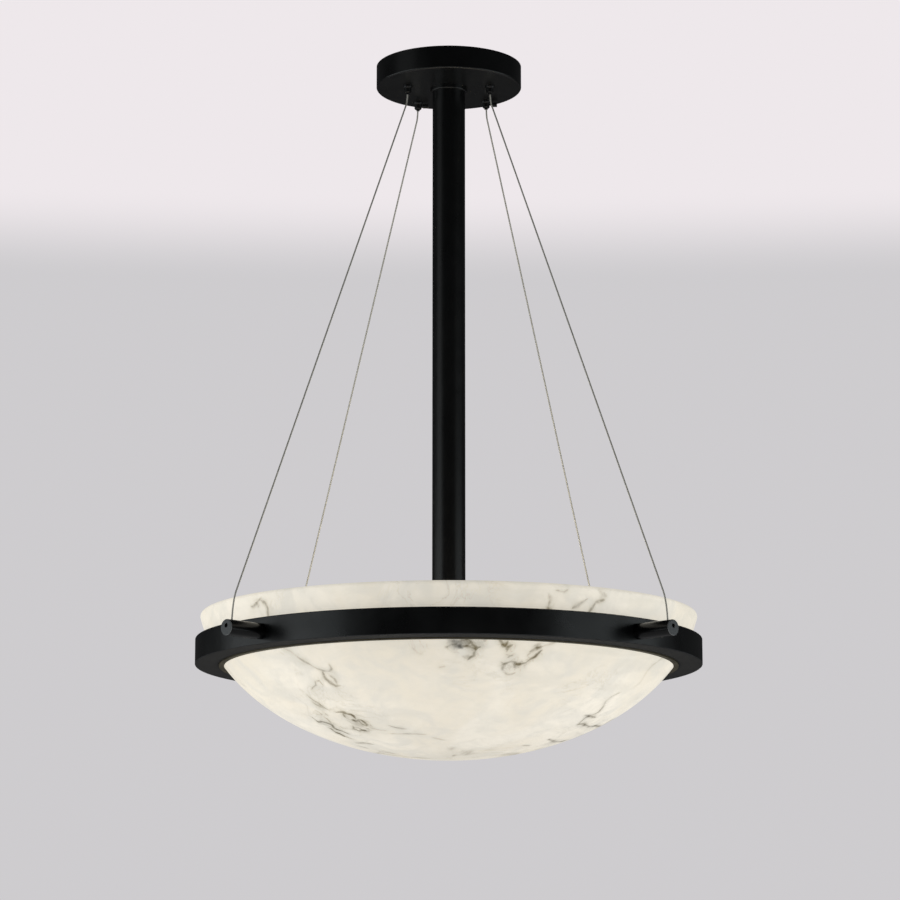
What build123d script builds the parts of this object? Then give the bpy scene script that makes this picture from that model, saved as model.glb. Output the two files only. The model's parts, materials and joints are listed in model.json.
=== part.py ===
from build123d import *
import math
import os

# Alabaster bowl pendant: a round ceiling canopy, a centre tube that carries
# the lamp cluster, four steel cables in grippers, and a rolled ring that
# holds a stone bowl.  Millimetres, +Z up.  The origin is the middle of the
# ceiling plane, so the whole fixture hangs below Z = 0.

# ---------------------------------------------------------------- dimensions
# canopy
canopy_r = 85.0
canopy_depth = 26.4
canopy_wall = 1.5
canopy_corner_r = 1.8
canopy_bottom = -canopy_depth

# ceiling crossbar
bar_length = 130.0
bar_width = 26.0
bar_thick = 2.5
slot_spacing = 88.9
slot_length = 24.6
slot_r = 2.4

# hollow threaded nipples
nipple_r = 5.0
nipple_bore = 3.4

# centre tube
tube_r = 19.05
tube_wall = 1.5
tube_bore = tube_r - tube_wall
tube_bottom = -664.0
insert_height = 14.0
collar_r = 21.6
collar_height = 4.6

# support ring: a rolled angle with the flat leg turned inwards
ring_r = 288.0
ring_top = -679.8
ring_bottom = -709.0
ring_wall = 4.0
ring_inner_r = 261.0
ring_edge = 0.9

# bowl: half of an ellipse turned round the Z axis
bowl_a = 286.4
bowl_b = 190.9
bowl_bottom = -813.9
bowl_centre = bowl_bottom + bowl_b
bowl_wall = 9.0
bowl_rim = -650.7
seat_gap = 0.35

# cable rods on the ring
rod_r = 8.75
rod_tip = 337.5
rod_z = -695.4
tip_hole_z = rod_z + 2.0
cable_hole_at = 329.6
cable_hole_r = 1.15

# cables
cable_r = 0.9
cable_low_end = -702.0
cable_low_corner = -669.0
cable_high_corner = -43.5
cable_high_end = -19.0
nose_bend_r = 10.0

# cable grippers
gripper_stem_r = 4.0
gripper_stem_top = -17.0
gripper_flange_r = 5.6
gripper_flange_h = 3.0
gripper_barrel_r = 4.2
gripper_barrel_end = -34.9
plunger_r = 2.0
plunger_end = -36.9
plunger_top = -33.9
plunger_travel = 1.5
lock_z = -30.9
lock_head_r = 2.6
lock_head_at = 6.0

# lamp cluster
hub_r = 32.0
hub_wall = 1.5
hub_bottom = -696.0
lamp_z = -680.0
holder_r = 19.0
holder_start = 36.0
holder_end = 72.0
cap_r = 13.1
bulb_r = 30.0
bulb_mid = 52.0

# Where each rod stands on the ring, how far from the axis and at what angle
# its gripper stands in the canopy, and which way the gripper's lock screw
# points.  Angles are in degrees from +X.
rods = {"front_left": 225.3, "front_right": 315.3, "back_right": 54.5, "back_left": 126.4}
grippers = {
    "front_left": (49.5, 194.0),
    "front_right": (49.5, 346.0),
    "back_right": (66.0, 47.8),
    "back_left": (66.0, 123.8),
}
locks = {"front_left": 90.0, "front_right": 90.0, "back_right": 0.0, "back_left": 0.0}
lock_head_lengths = {"front_left": 4.4, "front_right": 4.4, "back_right": 7.0, "back_left": 6.2}
lamps = {"right": 0.0, "back": 90.0, "left": 180.0, "front": 270.0}


def spot(r, azimuth, z):
    a = math.radians(azimuth)
    return Vector(r * math.cos(a), r * math.sin(a), z)


def outward(azimuth):
    a = math.radians(azimuth)
    return Vector(math.cos(a), math.sin(a), 0)


def bowl_radius(z):
    """Outer radius of the bowl at height z."""
    return bowl_a * math.sqrt(1 - ((z - bowl_centre) / bowl_b) ** 2)


os.makedirs("parts", exist_ok=True)

gripper_spots = [spot(r, a, 0) for r, a in grippers.values()]

# ------------------------------------------------------------------- ceiling
# Flat strap that is screwed to the outlet box.  Two long slots take the box
# screws, the middle hole takes the nipple, the small one the earth screw.
with BuildPart() as crossbar:
    with BuildSketch(Plane.XY):
        Rectangle(bar_length, bar_width)
        fillet(vertices(), radius=5)
        with Locations((-slot_spacing / 2, 0), (slot_spacing / 2, 0)):
            SlotOverall(slot_length, 2 * slot_r, mode=Mode.SUBTRACT)
        Circle(nipple_r + 0.05, mode=Mode.SUBTRACT)
        with Locations((20, 6)):
            Circle(2.0, mode=Mode.SUBTRACT)
    extrude(amount=-bar_thick)
    top_rim = edges().filter_by(Plane.XY).group_by(Axis.Z)[-1]
    chamfer(top_rim.filter_by(GeomType.LINE), length=0.3)
crossbar.part.label = "ceiling_crossbar"
export_step(crossbar.part, "parts/ceiling_crossbar.step")

with BuildPart() as earth_screw:
    with BuildSketch(Plane.XY.offset(-bar_thick)):
        with Locations((20, 6)):
            RegularPolygon(radius=4.2, side_count=6)
    extrude(amount=-3)
    chamfer(edges().group_by(Axis.Z)[0], length=0.5)
    with BuildSketch(Plane.XY.offset(-bar_thick)):
        with Locations((20, 6)):
            Circle(1.9)
    extrude(amount=bar_thick - 0.2)
    with BuildSketch(Plane.XY.offset(-bar_thick - 3)):
        with Locations((20, 6)):
            Rectangle(6, 0.9)
    extrude(amount=1.1, mode=Mode.SUBTRACT)
earth_screw.part.label = "earth_screw"
export_step(earth_screw.part, "parts/earth_screw.step")

# The nipple joins crossbar, canopy and tube on one axis and lets wires through.
with BuildPart() as top_nipple:
    with BuildSketch(Plane.XY.offset(-0.3)):
        Circle(nipple_r)
        Circle(nipple_bore, mode=Mode.SUBTRACT)
    extrude(amount=-(-0.3 - (canopy_bottom - insert_height + 2)))
    chamfer(edges().group_by(Axis.Z)[0].sort_by(SortBy.RADIUS)[-1], length=0.6)
    chamfer(edges().group_by(Axis.Z)[-1].sort_by(SortBy.RADIUS)[-1], length=0.6)
top_nipple.part.label = "top_nipple"
export_step(top_nipple.part, "parts/top_nipple.step")

# Two hexagon locknuts hold the nipple in the strap and clamp the canopy.
with BuildPart() as nipple_locknuts:
    for nut_top in (-bar_thick, canopy_bottom + canopy_wall + 3.2):
        with BuildSketch(Plane.XY.offset(nut_top)):
            RegularPolygon(radius=9.4, side_count=6)
            Circle(nipple_r + 0.05, mode=Mode.SUBTRACT)
        extrude(amount=-3.2)
nipple_locknuts.part.label = "nipple_locknuts"
export_step(nipple_locknuts.part, "parts/nipple_locknuts.step")

# Spun cup with a flat underside, a soft lower corner and five holes.
with BuildPart() as canopy:
    with BuildSketch(Plane.XZ):
        with BuildLine():
            Polyline(
                (nipple_r + 0.3, canopy_bottom),
                (canopy_r, canopy_bottom),
                (canopy_r, 0),
                (canopy_r - canopy_wall, 0),
                (canopy_r - canopy_wall, canopy_bottom + canopy_wall),
                (nipple_r + 0.3, canopy_bottom + canopy_wall),
                close=True,
            )
        make_face()
        low_corner = vertices().sort_by(Axis.X)[-2:].sort_by(Axis.Y)[0]
        fillet(low_corner, radius=canopy_corner_r)
    revolve(axis=Axis.Z)
    with BuildSketch(Plane.XY.offset(canopy_bottom - 1)):
        with Locations(*gripper_spots):
            Circle(gripper_stem_r + 0.2)
    extrude(amount=5, mode=Mode.SUBTRACT)
canopy.part.label = "canopy"
export_step(canopy.part, "parts/canopy.step")

# --------------------------------------------------------------- centre tube
# Turned plug brazed in the tube's top, screwed on the nipple.
with BuildPart() as tube_top_insert:
    with BuildSketch(Plane.XY.offset(canopy_bottom)):
        Circle(tube_bore - 0.02)
        Circle(nipple_r + 0.05, mode=Mode.SUBTRACT)
    extrude(amount=-insert_height)
    chamfer(edges().group_by(Axis.Z)[0].sort_by(SortBy.RADIUS)[-1], length=0.8)
tube_top_insert.part.label = "tube_top_insert"
export_step(tube_top_insert.part, "parts/tube_top_insert.step")

with BuildPart() as stem_tube:
    with BuildSketch(Plane.XY.offset(canopy_bottom)):
        Circle(tube_r)
        Circle(tube_bore, mode=Mode.SUBTRACT)
    extrude(amount=-(canopy_bottom - tube_bottom))
stem_tube.part.label = "stem_tube"
export_step(stem_tube.part, "parts/stem_tube.step")

# Trim collar under the canopy, with a rounded lower edge.
with BuildPart() as stem_collar:
    with BuildSketch(Plane.XY.offset(canopy_bottom)):
        Circle(collar_r)
        Circle(tube_r + 0.05, mode=Mode.SUBTRACT)
    extrude(amount=-collar_height)
    fillet(edges().group_by(Axis.Z)[0].sort_by(SortBy.RADIUS)[-1], radius=1.3)
stem_collar.part.label = "stem_collar"
export_step(stem_collar.part, "parts/stem_collar.step")

with BuildPart() as tube_bottom_insert:
    with BuildSketch(Plane.XY.offset(tube_bottom)):
        Circle(tube_bore - 0.02)
        Circle(nipple_r + 0.05, mode=Mode.SUBTRACT)
    extrude(amount=insert_height)
    chamfer(edges().group_by(Axis.Z)[-1].sort_by(SortBy.RADIUS)[-1], length=0.8)
tube_bottom_insert.part.label = "tube_bottom_insert"
export_step(tube_bottom_insert.part, "parts/tube_bottom_insert.step")

# -------------------------------------------------------------- lamp cluster
# Spun cup under the tube; four side holes take the lampholder studs.
with BuildPart() as cluster_body:
    with BuildSketch(Plane.XZ):
        with BuildLine():
            Polyline(
                (nipple_r + 0.2, tube_bottom),
                (hub_r, tube_bottom),
                (hub_r, hub_bottom),
                (hub_r - hub_wall, hub_bottom),
                (hub_r - hub_wall, tube_bottom - hub_wall),
                (nipple_r + 0.2, tube_bottom - hub_wall),
                close=True,
            )
        make_face()
        high_corner = vertices().sort_by(Axis.X)[-2:].sort_by(Axis.Y)[-1]
        fillet(high_corner, radius=3)
    revolve(axis=Axis.Z)
    for azimuth in lamps.values():
        with BuildSketch(Plane(origin=spot(hub_r - 4, azimuth, lamp_z), z_dir=outward(azimuth))):
            Circle(nipple_r + 0.1)
        extrude(amount=8, mode=Mode.SUBTRACT)
cluster_body.part.label = "cluster_body"
export_step(cluster_body.part, "parts/cluster_body.step")

with BuildPart() as cluster_cover:
    with BuildSketch(Plane.XY.offset(hub_bottom)):
        Circle(hub_r)
        Circle(nipple_r + 0.2, mode=Mode.SUBTRACT)
    extrude(amount=-2)
    fillet(edges().group_by(Axis.Z)[0].sort_by(SortBy.RADIUS)[-1], radius=1.2)
cluster_cover.part.label = "cluster_cover"
export_step(cluster_cover.part, "parts/cluster_cover.step")

with BuildPart() as cluster_nipple:
    with BuildSketch(Plane.XY.offset(tube_bottom + 11)):
        Circle(nipple_r)
        Circle(nipple_bore, mode=Mode.SUBTRACT)
    extrude(amount=-(tube_bottom + 11 - (hub_bottom - 7)))
    with BuildSketch(Plane.XZ.offset(-12)):
        with Locations((0, lamp_z)):
            SlotOverall(14, 5, rotation=90)
    extrude(amount=24, mode=Mode.SUBTRACT)
cluster_nipple.part.label = "cluster_nipple"
export_step(cluster_nipple.part, "parts/cluster_nipple.step")

# Domed blind nut under the cover.
with BuildPart() as finial_nut:
    with BuildSketch(Plane.XZ):
        with BuildLine():
            Polyline(
                (nipple_r + 0.05, hub_bottom - 2),
                (9.5, hub_bottom - 2),
                (9.5, hub_bottom - 14.5),
                (0, hub_bottom - 14.5),
                (0, hub_bottom - 8.5),
                (nipple_r + 0.05, hub_bottom - 8.5),
                close=True,
            )
        make_face()
        nose_corner = vertices().sort_by(Axis.Y)[:2].sort_by(Axis.X)[-1]
        fillet(nose_corner, radius=5.5)
    revolve(axis=Axis.Z)
finial_nut.part.label = "finial_nut"
export_step(finial_nut.part, "parts/finial_nut.step")

# Hollow studs that carry the lampholders, with their nuts inside the hub.
with BuildPart() as holder_studs:
    for azimuth in lamps.values():
        with BuildSketch(Plane(origin=spot(hub_r - 9, azimuth, lamp_z), z_dir=outward(azimuth))):
            Circle(nipple_r)
            Circle(nipple_bore, mode=Mode.SUBTRACT)
        extrude(amount=holder_start + 5 - (hub_r - 9))
holder_studs.part.label = "holder_studs"
export_step(holder_studs.part, "parts/holder_studs.step")

with BuildPart() as holder_nuts:
    for azimuth in lamps.values():
        for start, thick in ((hub_r - hub_wall - 4.3, 3.0), (hub_r, 4.0)):
            with BuildSketch(Plane(origin=spot(start, azimuth, lamp_z), z_dir=outward(azimuth))):
                RegularPolygon(radius=8.4, side_count=6)
                Circle(nipple_r + 0.05, mode=Mode.SUBTRACT)
            extrude(amount=thick)
holder_nuts.part.label = "holder_nuts"
export_step(holder_nuts.part, "parts/holder_nuts.step")

for lamp, azimuth in lamps.items():
    # The radial line of this lamp is the local Y axis of the profile plane,
    # and the profile's local X is its radius.
    lamp_plane = Plane(
        origin=(0, 0, lamp_z), x_dir=(0, 0, 1), z_dir=outward(azimuth + 90)
    )
    lamp_axis = Axis((0, 0, lamp_z), outward(azimuth))

    # Glazed ceramic cup with a back wall and a drilled stud hole.
    with BuildPart() as lampholder:
        with BuildSketch(lamp_plane):
            with BuildLine():
                Polyline(
                    (nipple_r + 0.05, holder_start),
                    (holder_r - 4, holder_start),
                    (holder_r, holder_start + 7),
                    (holder_r, holder_end),
                    (14.3, holder_end),
                    (14.3, holder_start + 9),
                    (nipple_r + 0.05, holder_start + 9),
                    close=True,
                )
            make_face()
        revolve(axis=lamp_axis)
        mouth_centre = spot(holder_end, azimuth, lamp_z)
        mouth = edges().filter_by(GeomType.CIRCLE).filter_by(
            lambda e: (e.arc_center - mouth_centre).length < 0.01
        )
        fillet(mouth.sort_by(SortBy.RADIUS)[-1], radius=1.6)
    lampholder.part.label = f"lampholder_{lamp}"
    export_step(lampholder.part, f"parts/lampholder_{lamp}.step")

    # Screw cap of the bulb: a short sleeve with a domed end contact.
    with BuildPart() as bulb_cap:
        with BuildSketch(lamp_plane):
            with BuildLine():
                Polyline(
                    (0, holder_start + 13.5),
                    (4.5, holder_start + 13.5),
                    (6, holder_start + 15.5),
                    (11, holder_start + 17),
                    (cap_r, holder_start + 19),
                    (cap_r, holder_end + 2),
                    (0, holder_end + 2),
                    close=True,
                )
            make_face()
        revolve(axis=lamp_axis)
    bulb_cap.part.label = f"bulb_cap_{lamp}"
    export_step(bulb_cap.part, f"parts/bulb_cap_{lamp}.step")

    # Pear-shaped glass, 1.2 thick, open at the neck where the cap closes it.
    with BuildPart() as bulb_glass:
        neck = holder_end + 2
        inner_r = bulb_r - 1.2
        with BuildSketch(lamp_plane):
            with BuildLine():
                # neck, then a sphere, then the same 1.2 further in
                Spline(
                    (13.0, neck),
                    (14.6, neck + 12),
                    (math.sqrt(bulb_r**2 - 22**2), neck + bulb_mid - 22),
                    tangents=((0.05, 1.0), (22.0, math.sqrt(bulb_r**2 - 22**2))),
                )
                ThreePointArc(
                    (math.sqrt(bulb_r**2 - 22**2), neck + bulb_mid - 22),
                    (bulb_r, neck + bulb_mid),
                    (0, neck + bulb_mid + bulb_r),
                )
                Line((0, neck + bulb_mid + bulb_r), (0, neck + bulb_mid + inner_r))
                ThreePointArc(
                    (0, neck + bulb_mid + inner_r),
                    (inner_r, neck + bulb_mid),
                    (math.sqrt(inner_r**2 - 21.2**2), neck + bulb_mid - 21.2),
                )
                Spline(
                    (math.sqrt(inner_r**2 - 21.2**2), neck + bulb_mid - 21.2),
                    (13.4, neck + 12),
                    (11.8, neck),
                    tangents=((-21.2, -math.sqrt(inner_r**2 - 21.2**2)), (-0.05, -1.0)),
                )
                Line((11.8, neck), (13.0, neck))
            make_face()
        revolve(axis=lamp_axis)
    bulb_glass.part.label = f"bulb_glass_{lamp}"
    export_step(bulb_glass.part, f"parts/bulb_glass_{lamp}.step")

# Threaded brass sleeves and spring contacts inside the four lampholders.
with BuildPart() as holder_shells:
    for azimuth in lamps.values():
        with BuildSketch(Plane(origin=spot(holder_start + 12, azimuth, lamp_z), z_dir=outward(azimuth))):
            Circle(14.25)
            Circle(cap_r + 0.35, mode=Mode.SUBTRACT)
        extrude(amount=holder_end - 2 - (holder_start + 12))
holder_shells.part.label = "holder_shells"
export_step(holder_shells.part, "parts/holder_shells.step")

with BuildPart() as holder_contacts:
    for azimuth in lamps.values():
        with BuildSketch(Plane(origin=spot(holder_start + 9, azimuth, lamp_z), z_dir=outward(azimuth))):
            Circle(7)
        extrude(amount=2)
        with BuildSketch(Plane(origin=spot(holder_start + 11, azimuth, lamp_z), z_dir=outward(azimuth))):
            Circle(3.5)
        extrude(amount=2.1)
holder_contacts.part.label = "holder_contacts"
export_step(holder_contacts.part, "parts/holder_contacts.step")

# -------------------------------------------------------------- support ring
# Rolled angle: an upright band with an inward flange on its lower edge, and
# one screw hole through the band behind each rod.
with BuildPart() as support_ring:
    with BuildSketch(Plane.XZ):
        with BuildLine():
            Polyline(
                (ring_inner_r, ring_bottom),
                (ring_r, ring_bottom),
                (ring_r, ring_top),
                (ring_r - ring_wall, ring_top),
                (ring_r - ring_wall, ring_bottom + ring_wall),
                (ring_inner_r, ring_bottom + ring_wall),
                close=True,
            )
        make_face()
        fillet(vertices(), radius=ring_edge)
    revolve(axis=Axis.Z)
    for azimuth in rods.values():
        with BuildSketch(Plane(origin=spot(ring_r - 10, azimuth, rod_z), z_dir=outward(azimuth))):
            Circle(3.2)
        extrude(amount=20, mode=Mode.SUBTRACT)
support_ring.part.label = "support_ring"
export_step(support_ring.part, "parts/support_ring.step")

# Silicone seat strip: a lip on the flange and a skirt down its inner edge.
# The sloped face follows the bowl's outer surface.
flange_top = ring_bottom + ring_wall + 0.02
seat_top = flange_top + 2.0
skirt_end = ring_bottom - 1.4
with BuildPart() as ring_gasket:
    with BuildSketch(Plane.XZ):
        with BuildLine():
            Polyline(
                (bowl_radius(skirt_end) + seat_gap, skirt_end),
                (ring_inner_r - 0.02, skirt_end),
                (ring_inner_r - 0.02, flange_top),
                (ring_inner_r + 8, flange_top),
                (ring_inner_r + 8, seat_top),
                (bowl_radius(seat_top) + seat_gap, seat_top),
                (bowl_radius(ring_bottom + 3) + seat_gap, ring_bottom + 3),
                close=True,
            )
        make_face()
    revolve(axis=Axis.Z)
ring_gasket.part.label = "ring_gasket"
export_step(ring_gasket.part, "parts/ring_gasket.step")

# Carved bowl, one wall thickness all over, with a rounded rim.
with BuildPart() as bowl:
    with BuildSketch(Plane.XZ):
        with Locations((0, bowl_centre)):
            Ellipse(bowl_a, bowl_b)
            Ellipse(bowl_a - bowl_wall, bowl_b - bowl_wall, mode=Mode.SUBTRACT)
        with Locations((bowl_a, (bowl_rim + bowl_bottom - 50) / 2)):
            Rectangle(2 * bowl_a, bowl_rim - bowl_bottom + 50, mode=Mode.INTERSECT)
        rim_corners = vertices().sort_by(Axis.Y)[-2:]
        fillet(rim_corners, radius=3.6)
    revolve(axis=Axis.Z)
bowl.part.label = "alabaster_bowl"
export_step(bowl.part, "parts/alabaster_bowl.step")

# ----------------------------------------------------- rods, screws, cables
for side, azimuth in rods.items():
    # Round rod on the ring: a threaded hole in its root, a cross hole for
    # the cable and a set-screw hole in its tip.
    with BuildPart() as cable_rod:
        with BuildSketch(Plane(origin=spot(ring_r - 3, azimuth, rod_z), z_dir=outward(azimuth))):
            Circle(rod_r)
        extrude(amount=rod_tip - (ring_r - 3))
        tip_edge = edges().filter_by(GeomType.CIRCLE).sort_by(
            lambda e: (e.center() - spot(rod_tip, azimuth, rod_z)).length
        )[0]
        fillet(tip_edge, radius=1.0)
        with BuildSketch(Plane.XY.offset(ring_bottom - 5)):
            Circle(ring_r)
        extrude(amount=40, mode=Mode.SUBTRACT)
        with BuildSketch(Plane(origin=spot(ring_r - 5, azimuth, rod_z), z_dir=outward(azimuth))):
            Circle(3.0)
        extrude(amount=22, mode=Mode.SUBTRACT)
        with BuildSketch(Plane(origin=spot(cable_hole_at - 2, azimuth, tip_hole_z), z_dir=outward(azimuth))):
            Circle(2.5)
        extrude(amount=20, mode=Mode.SUBTRACT)
        with BuildSketch(Plane(origin=spot(cable_hole_at, azimuth, cable_low_end - 0.2))):
            Circle(cable_hole_r)
        extrude(amount=30, mode=Mode.SUBTRACT)
    cable_rod.part.label = f"cable_rod_{side}"
    export_step(cable_rod.part, f"parts/cable_rod_{side}.step")

    # One length of cable: up out of the rod, one long straight run, and up
    # through the gripper.
    route_points = [
        spot(cable_hole_at, azimuth, cable_low_end),
        spot(cable_hole_at, azimuth, cable_low_corner),
        spot(*grippers[side], cable_high_corner),
        spot(*grippers[side], cable_high_end),
    ]
    legs = [b - a for a, b in zip(route_points, route_points[1:])]
    turns = [a.get_angle(b) for a, b in zip(legs, legs[1:])]
    low_bend_r = 0.45 * legs[0].length / math.tan(math.radians(turns[0] / 2))
    radii = [low_bend_r, nose_bend_r]
    with BuildPart() as cable:
        with BuildLine() as route:
            FilletPolyline(*route_points, radius=radii)
        with BuildSketch(Plane(origin=route_points[0], z_dir=(0, 0, 1))):
            Circle(cable_r)
        sweep()
    cable.part.label = f"cable_{side}"
    export_step(cable.part, f"parts/cable_{side}.step")
    route_length = sum(e.length for e in route.edges())
    print(
        f"cable_{side}: route {route_length:.1f} mm, radii",
        [round(r, 1) for r in radii],
        "turns",
        [round(t, 1) for t in turns],
        f"volume {cable.part.volume:.2f} of {math.pi * cable_r**2 * route_length:.2f}",
    )

with BuildPart() as rod_screws:
    for azimuth in rods.values():
        # domed head inside the band, shank through it into the rod
        with BuildSketch(Plane(origin=spot(ring_r - ring_wall - 0.05, azimuth, rod_z), z_dir=-outward(azimuth))):
            Circle(5.4)
        extrude(amount=3.2, taper=14)
        with BuildSketch(Plane(origin=spot(ring_r - ring_wall - 0.05, azimuth, rod_z), z_dir=outward(azimuth))):
            Circle(2.95)
        extrude(amount=18)
        with BuildSketch(Plane(origin=spot(ring_r - ring_wall - 3.3, azimuth, rod_z), z_dir=outward(azimuth))):
            RegularPolygon(radius=2.1, side_count=6)
        extrude(amount=1.8, mode=Mode.SUBTRACT)
rod_screws.part.label = "rod_screws"
export_step(rod_screws.part, "parts/rod_screws.step")

with BuildPart() as rod_set_screws:
    for azimuth in rods.values():
        with BuildSketch(Plane(origin=spot(cable_hole_at + cable_r + 0.05, azimuth, tip_hole_z), z_dir=outward(azimuth))):
            Circle(2.42)
        extrude(amount=5.0)
        with BuildSketch(Plane(origin=spot(cable_hole_at + cable_r + 5.05, azimuth, tip_hole_z), z_dir=-outward(azimuth))):
            RegularPolygon(radius=1.5, side_count=6)
        extrude(amount=2.5, mode=Mode.SUBTRACT)
rod_set_screws.part.label = "rod_set_screws"
export_step(rod_set_screws.part, "parts/rod_set_screws.step")

# ------------------------------------------------------------------ grippers
for side, (distance, azimuth) in grippers.items():
    centre = spot(distance, azimuth, 0)
    # local X of the profile points away from the tube
    gripper_plane = Plane(origin=centre, x_dir=outward(azimuth), z_dir=outward(azimuth - 90))
    gripper_axis = Axis(centre, (0, 0, 1))
    with BuildPart() as gripper:
        with BuildSketch(gripper_plane):
            with BuildLine():
                Polyline(
                    (0, gripper_stem_top),
                    (gripper_stem_r, gripper_stem_top),
                    (gripper_stem_r, canopy_bottom),
                    (gripper_flange_r, canopy_bottom),
                    (gripper_flange_r, canopy_bottom - 1.0),
                )
                ThreePointArc(
                    (gripper_flange_r, canopy_bottom - 1.0),
                    (gripper_flange_r - 0.5, canopy_bottom - 2.2),
                    (gripper_barrel_r, canopy_bottom - gripper_flange_h),
                )
                Polyline(
                    (gripper_barrel_r, canopy_bottom - gripper_flange_h),
                    (gripper_barrel_r, gripper_barrel_end + 0.8),
                    (gripper_barrel_r - 0.8, gripper_barrel_end),
                    (0, gripper_barrel_end),
                    (0, gripper_stem_top),
                )
            make_face()
        revolve(axis=gripper_axis)
        # cable bore, plunger pocket and lock-screw hole
        with BuildSketch(Plane(origin=(centre.X, centre.Y, gripper_barrel_end - 1))):
            Circle(cable_r + 0.15)
        extrude(amount=40, mode=Mode.SUBTRACT)
        with BuildSketch(Plane(origin=(centre.X, centre.Y, gripper_barrel_end - 1))):
            Circle(plunger_r + 0.3)
        extrude(amount=plunger_top + plunger_travel + 0.2 - (gripper_barrel_end - 1), mode=Mode.SUBTRACT)
        with BuildSketch(Plane(origin=(centre.X, centre.Y, lock_z), z_dir=outward(locks[side]))):
            Circle(1.05)
        extrude(amount=10, mode=Mode.SUBTRACT)
    gripper.part.label = f"gripper_{side}"
    export_step(gripper.part, f"parts/gripper_{side}.step")

    # Nose plunger: pushed up it frees the cable, a spring sends it back.
    with BuildPart() as plunger:
        with BuildSketch(Plane(origin=(centre.X, centre.Y, plunger_end))):
            Circle(plunger_r)
            Circle(cable_r + 0.25, mode=Mode.SUBTRACT)
        extrude(amount=plunger_top - plunger_end)
        fillet(edges().group_by(Axis.Z)[0].sort_by(SortBy.RADIUS)[-1], radius=0.5)
    plunger.part.label = f"release_plunger_{side}"
    export_step(plunger.part, f"parts/release_plunger_{side}.step")

# Hexagon nuts on the gripper stems, on the canopy's inner face.
with BuildPart() as gripper_locknuts:
    with BuildSketch(Plane.XY.offset(canopy_bottom + canopy_wall)):
        with Locations(*gripper_spots):
            RegularPolygon(radius=7.4, side_count=6)
            Circle(gripper_stem_r + 0.05, mode=Mode.SUBTRACT)
    extrude(amount=4)
gripper_locknuts.part.label = "gripper_locknuts"
export_step(gripper_locknuts.part, "parts/gripper_locknuts.step")

# Small knurled screws in the side of each gripper.
with BuildPart() as gripper_lock_screws:
    for side, (distance, azimuth) in grippers.items():
        way = outward(locks[side])
        centre = spot(distance, azimuth, lock_z)
        with BuildSketch(Plane(origin=centre + way * (cable_r + 0.4), z_dir=way)):
            Circle(1.0)
        extrude(amount=lock_head_at - cable_r - 0.4)
        with BuildSketch(Plane(origin=centre + way * lock_head_at, z_dir=way)):
            Circle(lock_head_r)
            with PolarLocations(lock_head_r, 18):
                Circle(0.18, mode=Mode.SUBTRACT)
        extrude(amount=lock_head_lengths[side])
gripper_lock_screws.part.label = "gripper_lock_screws"
export_step(gripper_lock_screws.part, "parts/gripper_lock_screws.step")
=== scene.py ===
import json
import math
import random

import bpy
import numpy as np
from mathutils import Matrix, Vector


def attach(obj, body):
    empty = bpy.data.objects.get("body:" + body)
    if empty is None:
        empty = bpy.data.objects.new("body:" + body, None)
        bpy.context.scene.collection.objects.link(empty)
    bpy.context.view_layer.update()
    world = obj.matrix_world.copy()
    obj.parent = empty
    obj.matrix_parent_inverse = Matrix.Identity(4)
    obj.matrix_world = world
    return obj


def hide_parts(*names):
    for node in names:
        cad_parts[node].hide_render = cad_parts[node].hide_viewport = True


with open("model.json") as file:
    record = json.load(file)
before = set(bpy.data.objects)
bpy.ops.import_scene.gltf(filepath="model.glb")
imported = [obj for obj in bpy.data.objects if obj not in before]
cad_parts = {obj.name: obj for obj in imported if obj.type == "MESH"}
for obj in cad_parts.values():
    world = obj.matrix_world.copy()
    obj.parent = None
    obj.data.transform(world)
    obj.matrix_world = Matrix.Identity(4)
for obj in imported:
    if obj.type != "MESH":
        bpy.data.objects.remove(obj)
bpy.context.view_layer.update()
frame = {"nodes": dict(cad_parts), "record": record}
nodes = frame["nodes"]


scene = bpy.context.scene
scene.view_settings.view_transform = "Standard"
scene.view_settings.look = "None"

# ------------------------------------------------------------------- camera
camera_data = bpy.data.cameras.new("camera")
camera_data.sensor_width = 36.0
camera_data.lens = 130.806
camera_data.clip_start = 0.05
camera_data.clip_end = 60.0
camera = bpy.data.objects.new("camera", camera_data)
scene.collection.objects.link(camera)
camera.location = (0.00138, -3.700, -1.15592)
camera.rotation_euler = (math.radians(90 + 10.68), 0.0, 0.0)
scene.camera = camera


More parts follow.
